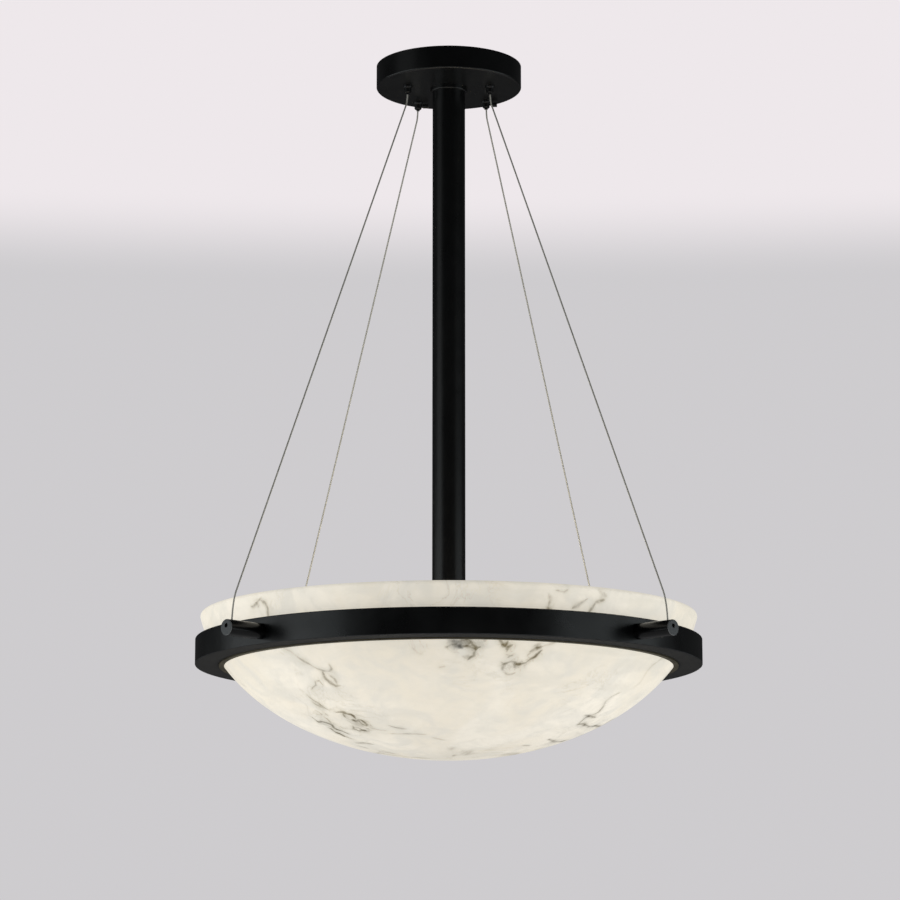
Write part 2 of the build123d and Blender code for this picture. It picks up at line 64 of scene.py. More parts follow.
# ---------------------------------------------------------- node shorthands
class Finish:
    """A material with one Principled shader and object coordinates."""

    def __init__(self, name):
        self.material = bpy.data.materials.new(name)
        self.material.use_nodes = True
        self.tree = self.material.node_tree
        self.tree.nodes.clear()
        self.out = self.add("ShaderNodeOutputMaterial")
        self.shader = self.add("ShaderNodeBsdfPrincipled")
        self.join(self.shader.outputs[0], self.out.inputs[0])
        self.place = self.add("ShaderNodeTexCoord").outputs["Object"]

    def add(self, kind):
        return self.tree.nodes.new(kind)

    def join(self, a, b):
        self.tree.links.new(a, b)

    def put(self, socket, value):
        """A value or a link into an input."""
        if isinstance(value, bpy.types.NodeSocket):
            self.join(value, socket)
        else:
            socket.default_value = value

    def set(self, **values):
        for key, value in values.items():
            self.shader.inputs[key.replace("_", " ")].default_value = value

    def stretch(self, scale, turn=(0, 0, 0), vector=None):
        node = self.add("ShaderNodeMapping")
        node.inputs["Scale"].default_value = scale
        node.inputs["Rotation"].default_value = turn
        self.join(vector or self.place, node.inputs["Vector"])
        return node.outputs[0]

    def noise(self, scale, detail=3.0, rough=0.5, vector=None, distort=0.0):
        node = self.add("ShaderNodeTexNoise")
        node.inputs["Scale"].default_value = scale
        node.inputs["Detail"].default_value = detail
        node.inputs["Roughness"].default_value = rough
        node.inputs["Distortion"].default_value = distort
        self.join(vector or self.place, node.inputs["Vector"])
        return node.outputs[0]

    def math(self, operation, a, b=0.0, c=0.0, clamp=False):
        node = self.add("ShaderNodeMath")
        node.operation = operation
        node.use_clamp = clamp
        for socket, value in zip(node.inputs, (a, b, c)):
            self.put(socket, value)
        return node.outputs[0]

    def span(self, value, low, high, to_low=0.0, to_high=1.0, smooth=False):
        node = self.add("ShaderNodeMapRange")
        node.interpolation_type = "SMOOTHSTEP" if smooth else "LINEAR"
        node.inputs["From Min"].default_value = low
        node.inputs["From Max"].default_value = high
        node.inputs["To Min"].default_value = to_low
        node.inputs["To Max"].default_value = to_high
        self.join(value, node.inputs["Value"])
        return node.outputs[0]

    def blend(self, factor, a, b, kind="MIX"):
        node = self.add("ShaderNodeMix")
        node.data_type = "RGBA"
        node.blend_type = kind
        self.put(node.inputs[0], factor)
        for socket, value in ((node.inputs[6], a), (node.inputs[7], b)):
            if isinstance(value, tuple) and len(value) == 3:
                value = (*value, 1.0)
            self.put(socket, value)
        return node.outputs[2]

    def bump(self, height, strength, distance):
        node = self.add("ShaderNodeBump")
        node.inputs["Strength"].default_value = strength
        node.inputs["Distance"].default_value = distance
        self.join(height, node.inputs["Height"])
        self.join(node.outputs[0], self.shader.inputs["Normal"])

    def colour(self, value):
        self.put(self.shader.inputs["Base Color"], value)

    def rough(self, value):
        self.put(self.shader.inputs["Roughness"], value)


def coated(name, dark, light, rough, spread, grain, strength, depth, metallic=0.0, cloud=22.0, **extra):
    """Painted or plated metal: cloudy tone, uneven gloss and a fine grain."""
    f = Finish(name)
    clouds = f.noise(cloud, 4.0, 0.55)
    fine = f.noise(grain, 2.0, 0.6)
    tone = f.math("ADD", f.math("MULTIPLY", clouds, 0.6), f.math("MULTIPLY", fine, 0.4))
    f.colour(f.blend(f.span(tone, 0.3, 0.7, smooth=True), dark, light))
    gloss = f.math("ADD", f.math("MULTIPLY", f.noise(cloud * 2.3, 3.0), 0.7), f.math("MULTIPLY", fine, 0.3))
    f.rough(f.span(gloss, 0.3, 0.7, rough - spread, rough + spread))
    f.set(Metallic=metallic, **extra)
    f.bump(fine, strength, depth)
    return f.material


def turned(name, dark, light, rough, spread, rings, strength, depth, axis=(1, 1, 1)):
    """Bare metal with fine machining lines round it."""
    f = Finish(name)
    lines = f.noise(rings, 2.0, 0.6, vector=f.stretch(axis))
    spots = f.noise(160.0, 4.0, 0.6)
    tone = f.math("ADD", f.math("MULTIPLY", lines, 0.5), f.math("MULTIPLY", spots, 0.5))
    f.colour(f.blend(f.span(tone, 0.3, 0.7, smooth=True), dark, light))
    f.rough(f.span(spots, 0.3, 0.7, rough - spread, rough + spread))
    f.set(Metallic=1.0)
    f.bump(lines, strength, depth)
    return f.material


# ---------------------------------------------------------------- materials
powder = coated(
    "powder_coat_black", (0.0022, 0.0024, 0.0026), (0.0050, 0.0053, 0.0056),
    0.31, 0.05, 1500.0, 0.10, 0.00012, IOR=1.5,
)
cluster_paint = coated(
    "satin_black", (0.010, 0.010, 0.0105), (0.018, 0.018, 0.019),
    0.42, 0.06, 900.0, 0.08, 0.0001, IOR=1.5,
)
gripper_finish = coated(
    "black_nickel", (0.018, 0.018, 0.019), (0.034, 0.034, 0.036),
    0.30, 0.06, 2600.0, 0.06, 0.00005, metallic=0.6,
)
plunger_finish = coated(
    "black_nickel_pin", (0.022, 0.022, 0.024), (0.042, 0.042, 0.045),
    0.26, 0.06, 3000.0, 0.05, 0.00004, metallic=0.6,
)
screw_black = coated(
    "black_oxide", (0.010, 0.010, 0.011), (0.026, 0.026, 0.028),
    0.40, 0.10, 2200.0, 0.10, 0.00006, metallic=0.5,
)
zinc = turned("zinc_plate", (0.50, 0.51, 0.52), (0.70, 0.70, 0.68), 0.34, 0.08, 700.0, 0.10, 0.00005, (1, 1, 6))
brass = turned("plain_brass", (0.58, 0.40, 0.17), (0.78, 0.58, 0.28), 0.28, 0.08, 800.0, 0.08, 0.00005)
nickel = turned("rolled_cap", (0.62, 0.62, 0.60), (0.80, 0.80, 0.78), 0.22, 0.06, 900.0, 0.06, 0.00004)
earth_green = coated(
    "green_lacquer", (0.020, 0.16, 0.045), (0.040, 0.27, 0.075),
    0.30, 0.08, 1400.0, 0.08, 0.00005, metallic=0.3,
)


def ceramic_finish():
    f = Finish("glazed_ceramic")
    clouds = f.noise(60.0, 3.0)
    specks = f.noise(900.0, 2.0)
    f.colour(f.blend(f.span(clouds, 0.35, 0.65, smooth=True), (0.72, 0.70, 0.65), (0.82, 0.81, 0.77)))
    f.rough(f.span(specks, 0.3, 0.7, 0.12, 0.24))
    f.set(Coat_Weight=0.4, Coat_Roughness=0.06)
    f.bump(clouds, 0.08, 0.0003)
    return f.material


def silicone_finish():
    f = Finish("silicone_strip")
    clouds = f.noise(45.0, 4.0, 0.6)
    fine = f.noise(1100.0, 2.0)
    f.colour(f.blend(f.span(clouds, 0.3, 0.7, smooth=True), (0.060, 0.050, 0.026), (0.115, 0.098, 0.055)))
    f.rough(f.span(fine, 0.3, 0.7, 0.50, 0.66))
    f.bump(fine, 0.15, 0.0001)
    return f.material


def opal_finish():
    f = Finish("opal_glass")
    haze = f.noise(38.0, 4.0, 0.55)
    f.colour(f.blend(f.span(haze, 0.3, 0.7, smooth=True), (0.86, 0.83, 0.77), (0.93, 0.91, 0.86)))
    f.rough(f.span(haze, 0.3, 0.7, 0.10, 0.18))
    # brighter over the middle of each bulb, dimmer on its neck
    along = f.add("ShaderNodeSeparateXYZ")
    f.join(f.place, along.inputs[0])
    flat = f.math("SQRT", f.math("ADD", f.math("POWER", along.outputs[0], 2.0), f.math("POWER", along.outputs[1], 2.0)))
    bright = f.span(flat, 0.074, 0.112, 0.35, 1.0, smooth=True)
    f.put(f.shader.inputs["Emission Color"], f.blend(bright, (0.30, 0.25, 0.19), (1.0, 0.90, 0.74)))
    f.set(Emission_Strength=2.6, Coat_Weight=0.5, Coat_Roughness=0.05)
    f.bump(f.noise(400.0, 2.0), 0.02, 0.0001)
    return f.material


def cable_finish(curve_map):
    """Twisted wires: slanted ridges along the length on a curve, and a fine grain on a solid."""
    f = Finish("wire_rope" if curve_map else "wire_rope_ends")
    grain = f.noise(1500.0, 3.0, 0.6)
    if curve_map:
        parts = f.add("ShaderNodeSeparateXYZ")
        f.join(f.add("ShaderNodeTexCoord").outputs["UV"], parts.inputs[0])
        along = f.math("MULTIPLY", parts.outputs[0], 920.0)
        around = f.math("MULTIPLY", parts.outputs[1], 2 * math.pi * 6)
        ridges = f.math("SINE", f.math("ADD", along, around))
    else:
        ridges = f.span(grain, 0.2, 0.8, -1.0, 1.0)
    tone = f.math("ADD", f.span(ridges, -1.0, 1.0, 0.0, 0.65), f.math("MULTIPLY", grain, 0.5))
    f.colour(f.blend(f.span(tone, 0.1, 0.9, smooth=True), CABLE_DARK, CABLE_LIGHT))
    f.rough(f.span(grain, 0.3, 0.7, 0.38, 0.52))
    f.set(Metallic=0.05)
    f.bump(f.span(ridges, -1.0, 1.0), 0.5, 0.00012)
    return f.material


CABLE_DARK, CABLE_LIGHT = (0.66, 0.63, 0.55), (0.98, 0.95, 0.86)
wire = cable_finish(True)
wire_ends = cable_finish(False)
ceramic = ceramic_finish()
silicone = silicone_finish()
opal = opal_finish()

by_slot = {
    "black_powder_coat": powder,
    "cluster_black": cluster_paint,
    "gripper_black": gripper_finish,
    "plunger_black": plunger_finish,
    "black_screw": screw_black,
    "steel_cable": wire_ends,
    "gasket_silicone": silicone,
    "zinc_steel": zinc,
    "earth_green": earth_green,
    "holder_ceramic": ceramic,
    "holder_brass": brass,
    "cap_nickel": nickel,
    "opal_glass": opal,
}

def rod_coat_with_painted_highlight():
    """The powder coat, a lighter grey face on each rod's tip, and a painted highlight round the face's edge."""
    f = Finish("powder_coat_rods")
    clouds = f.noise(30.0, 4.0, 0.55)
    fine = f.noise(1500.0, 2.0, 0.6)
    parts = f.add("ShaderNodeSeparateXYZ")
    f.join(f.place, parts.inputs[0])
    out = f.math("SQRT", f.math("ADD", f.math("POWER", parts.outputs[0], 2.0), f.math("POWER", parts.outputs[1], 2.0)))
    tip = f.span(out, 0.33655, 0.33735, smooth=True)
    # painted highlight: a light grey ring round the edge of each tip face
    rim = f.math("MULTIPLY", f.span(out, 0.33655, 0.33680, smooth=True), f.span(out, 0.33725, 0.33748, 1.0, 0.0, smooth=True))
    coat = f.blend(f.span(clouds, 0.3, 0.7, smooth=True), (0.0016, 0.0017, 0.0019), (0.0036, 0.0038, 0.0041))
    face = f.blend(f.span(fine, 0.3, 0.7, smooth=True), (0.100, 0.106, 0.110), (0.165, 0.172, 0.176))
    f.colour(f.blend(f.math("MULTIPLY", rim, 0.7), f.blend(tip, coat, face), (0.36, 0.37, 0.37)))
    f.rough(f.span(clouds, 0.3, 0.7, 0.20, 0.27))
    f.set(IOR=1.33)
    f.bump(fine, 0.10, 0.00012)
    return f.material


rod_coat = rod_coat_with_painted_highlight()


def ring_coat_with_painted_highlight():
    """The powder coat, which lies thicker and rougher on the ring's underside, and a painted highlight along its edges.
    """
    f = Finish("powder_coat_ring")
    clouds = f.noise(30.0, 4.0, 0.55)
    fine = f.noise(1500.0, 2.0, 0.6)
    parts = f.add("ShaderNodeSeparateXYZ")
    f.join(f.add("ShaderNodeNewGeometry").outputs["Normal"], parts.inputs[0])
    under = f.span(parts.outputs[2], -0.9, -0.5, 1.0, 0.0, smooth=True)
    coat = f.blend(f.span(clouds, 0.3, 0.7, smooth=True), (0.0022, 0.0024, 0.0026), (0.0050, 0.0053, 0.0056))
    thick = f.blend(f.span(fine, 0.3, 0.7, smooth=True), (0.020, 0.020, 0.020), (0.034, 0.034, 0.033))
    # painted highlight: a lighter grey on the tilted faces of the edges, broken up by noise, stands for the light line
    # along the ring's edges
    tilt = f.math("ABSOLUTE", parts.outputs[2])
    edge = f.math("MULTIPLY", f.span(tilt, 0.12, 0.40, smooth=True), f.span(tilt, 0.72, 0.94, 1.0, 0.0, smooth=True))
    painted_edge_highlight = f.math("MULTIPLY", edge, f.span(f.noise(26.0, 3.0, 0.6), 0.38, 0.62, 0.25, 1.0, smooth=True))
    f.colour(f.blend(painted_edge_highlight, f.blend(under, coat, thick), (0.050, 0.053, 0.056)))
    smooth_side = f.span(clouds, 0.3, 0.7, 0.26, 0.36)
    f.rough(f.math("ADD", smooth_side, f.math("MULTIPLY", under, 0.62), clamp=True))
    f.set(IOR=1.5)
    f.bump(fine, 0.10, 0.00012)
    return f.material


ring_coat = ring_coat_with_painted_highlight()

# --------------------------------------------------------------- stone bowl
# Half of an ellipse turned round the axis, 9 mm thick, with a rounded rim.
BOWL_A, BOWL_B, BOWL_Z, RIM_Z, WALL, ROUND = 0.2864, 0.1909, -0.6230, -0.6507, 0.009, 0.0036

# Veins: half width in mm, strength, tint from olive (0) to blue-grey (1), and
# the points of the line as azimuth,angle from the bottom, in degrees.
VEINS = (
    (1.1, 0.45, 0.2, "224.8,63.2 227.4,60.9 228.9,58.5 231,56.2 232.4,54.6 234.1,53.7 236,53.5 237.3,54.3 237.1,55.8"),
    (2.2, 0.55, 0.1, "233.5,53.1 233.1,50.9 234,49 234.7,48 236.5,48.1"),
    (1.6, 0.45, 0.1, "235,52.2 236.2,50.6 235.7,48.8"),
    (0.9, 0.42, 0.1, "224.4,47.2 225.7,48.1 227.9,49 228.6,50.2 230.3,50.5 230.4,48.6"),
    (2, 0.4, 0.5, "199,22.5 207.2,21.7 211.1,20.2"),
    (2, 0.5, 0.7, "192.4,21 190.4,18.9"),
    (1, 0.3, 0.6, "231.4,29.2 234.3,27.8 238.4,27"),
    (1.5, 0.45, 0.6, "242.4,29.8 244.9,28.5 249.3,27.6"),
    (1.3, 0.38, 0.5, "237.8,25.4 243.4,25.1 249.6,24.8 257.4,24"),
    (1.2, 0.3, 0.6, "259.8,22.1 266.8,20.2"),
    (1.2, 0.25, 0, "267.4,53.1 269.3,53.5"),
    (1.2, 0.25, 0, "260.7,60.4 262.2,58.4 263.4,57.8"),
    (1.5, 0.5, 0.1, "223.9,79.7 222.7,78.5 220.7,77.2 219.8,77.5"),
    (1.6, 0.5, 0.1, "223.4,78.9 224.9,77.5 225.4,75.8 224.7,73.1"),
    (1.2, 0.4, 0.1, "221.8,78.3 222.7,77.4 222.2,76.6"),
    (1.3, 0.5, 0.4, "332,48.1 330.2,46.6 330.2,44.5 333,42 334.6,39.9 333.7,38.3 331.8,36.9 333.3,34.8 335.7,33.1"),
    (1.8, 0.6, 0.7, "329.1,37.9 333.8,37.7 338.8,37.7"),
    (2, 0.65, 0.7, "334.1,33.6 337.4,34.4 348.7,34.5 352.2,35.5 8.6,38.1 1.3,39.6 4,41.4"),
    (2.4, 0.6, 0.7, "337.3,25.1 352.8,25.1 2.8,27.1 3.4,28.4"),
    (1.8, 0.4, 0.7, "328.9,19.5 339.7,20"),
    (1.5, 0.4, 0.5, "5.8,19.5 11.6,22.3"),
    (1.6, 0.45, 0.15, "292.3,78.2 292.7,76.1 292.5,73.6 292,72.6"),
    (2.4, 0.5, 0.15, "292.5,73.8 293.4,72.6"),
    (1.3, 0.32, 0.1, "293.9,79.4 295.8,79 296.6,79.9"),
    (1.8, 0.38, 0.2, "298.7,73.9 300.4,75.8 301.9,77.5"),
    (2, 0.5, 0.2, "303,73.2 303.9,75.4 304.4,76.7 306.4,77.6"),
    (2, 0.3, 0.2, "304.5,80.5 307.1,78.7"),
    (1.6, 0.4, 0.2, "291.3,72.9 294.6,72.7"),
    (1.5, 0.85, 0.35, "208.7,37.0 208.2,35.8 207.5,34.9 210.3,34.7 212.1,33.6 213.2,32.7 210.8,31.1 210.9,30.2 212.0,29.3 212.4,27.5"),
    (1.6, 0.85, 0.4, "206.9,31.9 207.5,31.1 206.1,29.8 205.9,28.8 206.3,27.9 205.0,26.7 206.6,25.0"),
    (2.4, 0.95, 0.5, "212.3,33.2 213.4,32.6"),
    (2.6, 0.95, 0.5, "205.7,29.3 205.9,28.1"),
    (1.2, 0.5, 0.2, "216.0,36.1 216.0,35.3 215.4,34.5 213.8,33.1"),
    (1.4, 0.3, 0.3, "216.6,39.3 216.9,38.2 216.6,37.3"),
    (1.1, 0.35, 0.2, "219.3,37.6 219.0,36.4"),
    (1.3, 0.25, 0.3, "213.6,38.2 216.2,37.3"),
    (1.1, 0.35, 0.3, "207.2,33.9 209.6,32.7 210.3,31.2"),
    (1.2, 0.35, 0.3, "216.4,31.5 216.2,30.3 219.3,29.5"),
    (1.6, 0.9, 0.2, "224.9,37.6 226.9,37.5 228.9,37.4 229.3,36.7 230.7,36.2 231.0,35.4 230.4,34.1"),
    (2, 0.9, 0.2, "227.6,37.2 228.8,36.6"),
    (1.4, 0.7, 0.1, "227.4,36.8 226.4,35.6 226.3,35.1"),
    (2.4, 1, 0.3, "228.2,33.6 229.4,33.3 230.6,33.4"),
    (1.4, 0.85, 0.1, "231.1,33.8 232.2,33.3 232.6,32.2 232.0,30.9 230.9,30.1"),
    (1.2, 0.75, 0.1, "231.0,33.4 230.4,31.9 230.5,31.0 230.9,30.3"),
    (1.4, 0.85, 0.3, "224.4,30.9 221.5,29.3 222.5,28.8 222.8,28.0 225.5,28.4 226.7,27.8"),
    (1.3, 0.6, 0.3, "222.3,29.7 225.3,29.7 225.7,28.7"),
    (2.2, 1, 0.5, "225.7,28.5 226.9,27.7"),
    (1, 0.3, 0.3, "225.4,33.9 225.6,32.8 225.7,31.7"),
    (1, 0.5, 0.4, "229.0,29.1 230.4,28.5"),
    (6, 0.22, 0.4, "226.6,31.6 229.0,30.0"),
    (1.2, 0.55, 0, "220.9,45.7 220.9,44.9 221.1,43.4 221.9,42.4 221.9,41.1 222.2,39.8 222.8,39.0 224.3,38.9"),
    (1, 0.38, 0, "219.9,43.2 220.1,41.7 220.9,40.7 221.5,39.6"),
    (6.4, 1.25, 0.9, "271.5,61.9 272.3,61.2 273.1,60.3"),
    (3.4, 0.9, 0.8, "271.2,61.4 272.2,60.6 273.2,59.8"),
    (1.5, 0.65, 0.1, "272.9,62.3 274.4,62.6 274.8,61.7 275.0,61.1"),
    (1.4, 0.85, 0.1, "274.4,62.7 275.4,61.7 276.1,60.8 277.2,60.0 277.8,60.2"),
    (1.4, 0.8, 0.1, "273.5,60.4 274.7,60.4 275.9,59.8 276.8,59.2 277.2,59.9"),
    (1.7, 0.95, 0.1, "275.8,60.8 276.4,60.5 276.9,59.3"),
    (1.3, 0.65, 0.1, "276.7,59.2 276.5,58.0 276.5,57.2 275.7,56.7 275.1,55.9"),
    (3.2, 0.35, 0.1, "273.9,57.0 275.4,56.8"),
    (1.6, 0.7, 0.1, "269.4,60.2 269.7,60.2"),
    (1, 0.4, 0.1, "269.7,60.3 270.4,60.9 271.3,61.2"),
    (1.4, 0.35, 0.1, "278.6,62.8 278.8,62.2"),
    (1.3, 0.65, 0.1, "282.1,62.8 282.8,62.2 283.4,61.5 283.9,60.8 284.2,61.7 284.3,62.8"),
    (1.6, 0.7, 0.1, "283.0,61.3 283.9,60.7"),
    (1.5, 0.95, 0.1, "284.8,59.3 284.7,60.2 285.2,60.9 285.6,61.4"),
    (1.1, 0.5, 0.1, "285.3,56.7 286.0,57.5 286.7,57.6"),
    (1, 0.3, 0.1, "284.6,58.1 286.0,57.5 286.8,58.4"),
    (1.4, 0.9, 0.15, "284.5,54.7 285.4,55.1 286.6,55.6 287.3,55.4 288.0,55.0 288.6,54.5 289.4,55.1 290.6,55.5 291.2,56.5 292.5,57.5 292.9,58.4 293.5,59.6 293.8,59.9"),
    (2, 0.95, 0.15, "288.2,54.7 289.4,55.1"),
    (1.3, 0.7, 0.15, "287.3,55.1 287.9,53.6 288.3,53.9"),
    (1.1, 0.4, 0.15, "284.6,52.6 284.7,54.2 285.5,55.0"),
    (1.1, 0.3, 0.15, "285.1,51.8 286.3,51.1 287.7,51.2 288.5,51.9"),
    (2, 0.8, 0.15, "292.0,60.5 292.8,60.7 293.6,61.2"),
    (1.7, 0.45, 0.15, "290.8,59.3 292.0,60.5"),
    (1, 0.35, 0.15, "290.3,57.9 291.0,59.0"),
    (1.6, 0.35, 0.2, "293.6,61.2 295.0,61.9 296.6,62.7"),
    (2.4, 0.3, 0.2, "291.3,61.1 292.9,62.1"),
)


def on_bowl(azimuth, turn):
    a, t = math.radians(azimuth), math.radians(turn)
    r = BOWL_A * math.sin(t)
    return (r * math.cos(a), r * math.sin(a), BOWL_Z - BOWL_B * math.cos(t))


def wandering_veins(rng):
    """Lines like the drawn ones for the parts of the stone that they leave
    bare: the far half, and a few between."""
    made = []
    for azimuth, turn, heading, size in (
        (24, 62, 200, 1.0), (38, 44, 160, 0.8), (58, 70, 230, 0.9), (66, 33, 190, 1.1),
        (84, 55, 140, 1.2), (97, 74, 215, 0.7), (104, 40, 250, 0.9), (121, 62, 175, 1.1),
        (136, 48, 215, 1.0), (150, 70, 150, 0.8), (158, 35, 225, 0.9), (172, 57, 240, 1.0),
        (12, 30, 120, 0.7), (44, 16, 200, 0.8), (110, 20, 160, 0.8), (186, 66, 205, 0.6),
        (196, 14, 250, 0.7), (318, 12, 220, 0.6), (342, 66, 200, 0.55), (80, 79, 185, 0.6),
    ):
        for branch in range(rng.choice((2, 3, 3))):
            a, t = azimuth + rng.uniform(-4, 4), turn + rng.uniform(-3, 3)
            h = math.radians(heading + rng.uniform(-35, 35))
            points = [(a, t)]
            for step in range(rng.randint(4, 8)):
                h += rng.uniform(-0.65, 0.65)
                length = rng.uniform(1.4, 2.8)
                t = min(83.0, max(4.0, t + length * math.sin(h)))
                a += length * math.cos(h) / max(0.15, math.sin(math.radians(t)))
                points.append((a, t))
            made.append((rng.uniform(1.0, 2.3), rng.uniform(0.35, 0.8) * size, rng.random() ** 1.5, points))
    return made


def side_strands(lines, rng):
    """Thin strands that leave a vein and run beside it."""
    made = []
    for width, strength, colour, points in lines:
        if len(points) < 3:
            continue
        for branch in range(2):
            shift = rng.uniform(0.7, 1.7) * (1 if branch else -1)
            strand = []
            for a, t in points:
                spread = 1 / max(0.15, math.sin(math.radians(t)))
                strand.append((a + (shift * 0.7 + rng.uniform(-0.6, 0.6)) * spread, min(83.0, t + shift + rng.uniform(-0.6, 0.6))))
            first = rng.randint(0, len(strand) - 2)
            last = rng.randint(first + 2, len(strand) + 1)
            made.append((max(0.8, 0.5 * width), 0.55 * strength, colour * 0.7, strand[first:last]))
    return made


def bowl_profile():
    """(radius, z, turn on the outside) from the outside bottom round the rim to the inside bottom."""
    def corner(a, b):
        z = RIM_Z - ROUND
        return a * math.sqrt(1 - ((z - BOWL_Z) / b) ** 2), z

    turns = [0.0, 1.5, 3.5, 6.0, 8.5, 11.0, 13.5, 16.0]
    out_r, out_z = corner(BOWL_A - ROUND, BOWL_B - ROUND)
    slope = math.atan2((out_z - BOWL_Z) / BOWL_B**2, out_r / BOWL_A**2)
    last = math.degrees(math.acos((BOWL_Z - (out_z + ROUND * math.sin(slope))) / BOWL_B))
    steps = 196
    turns += [16.0 + (last - 16.0) * i / steps for i in range(1, steps + 1)]
    rows = [(BOWL_A * math.sin(math.radians(t)), BOWL_Z - BOWL_B * math.cos(math.radians(t)), t) for t in turns]
    for i in range(1, 7):
        angle = slope + (math.pi / 2 - slope) * i / 6
        rows.append((out_r + ROUND * math.cos(angle), out_z + ROUND * math.sin(angle), last + 0.14 * i))
    a, b = BOWL_A - WALL, BOWL_B - WALL
    in_r, in_z = corner(a + ROUND, b + ROUND)
    lean = math.atan2((in_z - BOWL_Z) / b**2, in_r / a**2)
    for i in range(7):
        angle = math.pi / 2 + (math.pi / 2 + lean) * i / 6
        rows.append((in_r + ROUND * math.cos(angle), in_z + ROUND * math.sin(angle), last + 0.14 * (6 - i)))
    first = math.degrees(math.acos((BOWL_Z - (in_z - ROUND * math.sin(lean))) / b))
    for i in range(1, 61):
        t = first * (1 - i / 60)
        rows.append((a * math.sin(math.radians(t)), BOWL_Z - b * math.cos(math.radians(t)), t))
    return rows


def distance_to(points, a, b):
    along = b - a
    k = np.clip(((points - a) @ along) / max(along @ along, 1e-12), 0, 1)
    gap = points - (a + k[:, None] * along)
    return np.sqrt((gap**2).sum(1)), k


def vein_fields(points):
    """For each point on the bowl's outside (in mm): how dark the veins are,
    how near one is, and their tint."""
    wave = np.zeros_like(points)
    for size, amount in ((46.0, 1.0), (19.0, 0.7), (8.5, 0.5), (3.6, 0.35)):
        for i in range(3):
            p = points / size
            wave[:, i] += amount * np.sin(p[:, (i + 1) % 3] * 2.1 + 1.7 * i) * np.cos(p[:, (i + 2) % 3] * 1.7 + 0.9 * i + size)
    moved = points + 0.55 * wave
    dark = np.zeros(len(points))
    near = np.zeros(len(points))
    tint_sum = np.full(len(points), 1e-6)
    tint = np.full(len(points), 0.3e-6)
    drawn = [(w, s, c, [tuple(map(float, p.split(","))) for p in line.split()]) for w, s, c, line in VEINS]
    lines = drawn + wandering_veins(random.Random(11))
    lines += side_strands(lines[len(drawn):], random.Random(5))
    # veins swell into dark knots and thin out between them
    knots = 0.5 + 0.25 * (np.sin(points[:, 0] / 2.9 + 1.3 * np.sin(points[:, 1] / 4.1)) + np.sin(points[:, 2] / 2.3 + points[:, 1] / 5.3))
    for width, strength, colour, line in lines:
        ends = [np.array(on_bowl(*p)) * 1000 for p in line]
        middle = sum(ends) / len(ends)
        reach = max(np.linalg.norm(e - middle) for e in ends) + 30
        close = np.where(((moved - middle) ** 2).sum(1) < reach**2)[0]
        if not len(close):
            continue
        here = moved[close]
        best = np.full(len(close), 1e9)
        for i in range(len(ends) - 1):
            gap, k = distance_to(here, ends[i], ends[i + 1])
            # the line thins out towards its two ends
            part = (i + k) / (len(ends) - 1)
            taper = 0.45 + 0.55 * np.clip(np.minimum(part, 1 - part) * 5, 0, 1)
            best = np.minimum(best, gap / (0.76 * width * taper * (0.60 + 0.85 * knots[close])))
        core = min(1.0, 1.25 * strength) * (0.80 + 0.20 * knots[close]) * np.exp(-(best**2) / 2.0)
        halo = strength * np.exp(-((best * width / 8.5) ** 2))
        dark[close] = 1 - (1 - dark[close]) * (1 - core)
        near[close] = 1 - (1 - near[close]) * (1 - 0.8 * halo)
        tint[close] += halo * colour
        tint_sum[close] += halo
    return dark, near, tint / tint_sum


def make_bowl():
    rows = bowl_profile()
    angles = [0.9 * i for i in range(200)] + [180 + 0.33333 * i for i in range(540)]
    angles = np.radians(np.array(angles))
    ring_count, across = len(rows), len(angles)
    r = np.array([p[0] for p in rows])
    z = np.array([p[1] for p in rows])
    t = np.radians(np.array([p[2] for p in rows]))
    body = slice(1, ring_count - 1)
    grid = np.stack([
        r[body, None] * np.cos(angles)[None],
        r[body, None] * np.sin(angles)[None],
        np.repeat(z[body, None], across, 1),
    ], 2).reshape(-1, 3)
    surface = np.stack([
        BOWL_A * np.sin(t)[body, None] * np.cos(angles)[None],
        BOWL_A * np.sin(t)[body, None] * np.sin(angles)[None],
        np.repeat((BOWL_Z - BOWL_B * np.cos(t))[body, None], across, 1),
    ], 2).reshape(-1, 3)
    outer_pole, inner_pole = (0, 0, z[0]), (0, 0, z[-1])
    points = np.vstack([[outer_pole], grid, [inner_pole]])
    surface = np.vstack([[outer_pole], surface, [(0, 0, z[0])]])
    faces = []
    last_ring = ring_count - 3
    for j in range(across):
        k = (j + 1) % across
        faces.append((0, 1 + k, 1 + j))
        for i in range(last_ring):
            a, b = 1 + i * across, 1 + (i + 1) * across
            faces.append((a + j, a + k, b + k, b + j))
        base = 1 + last_ring * across
        faces.append((base + j, base + k, len(points) - 1))
    mesh = bpy.data.meshes.new("stone_bowl")
    mesh.from_pydata([tuple(p) for p in points], [], faces)
    mesh.shade_smooth()
    dark, near, tint = vein_fields(surface * 1000)
    for name, values in (("vein", dark), ("vein_near", near), ("vein_tint", tint)):
        layer = mesh.attributes.new(name, "FLOAT", "POINT")
        layer.data.foreach_set("value", np.clip(values, 0, 1).astype(np.float32))
    bowl = bpy.data.objects.new("stone_bowl", mesh)
    scene.collection.objects.link(bowl)
    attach(bowl, "bowl")
    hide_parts("alabaster_bowl")
    return bowl


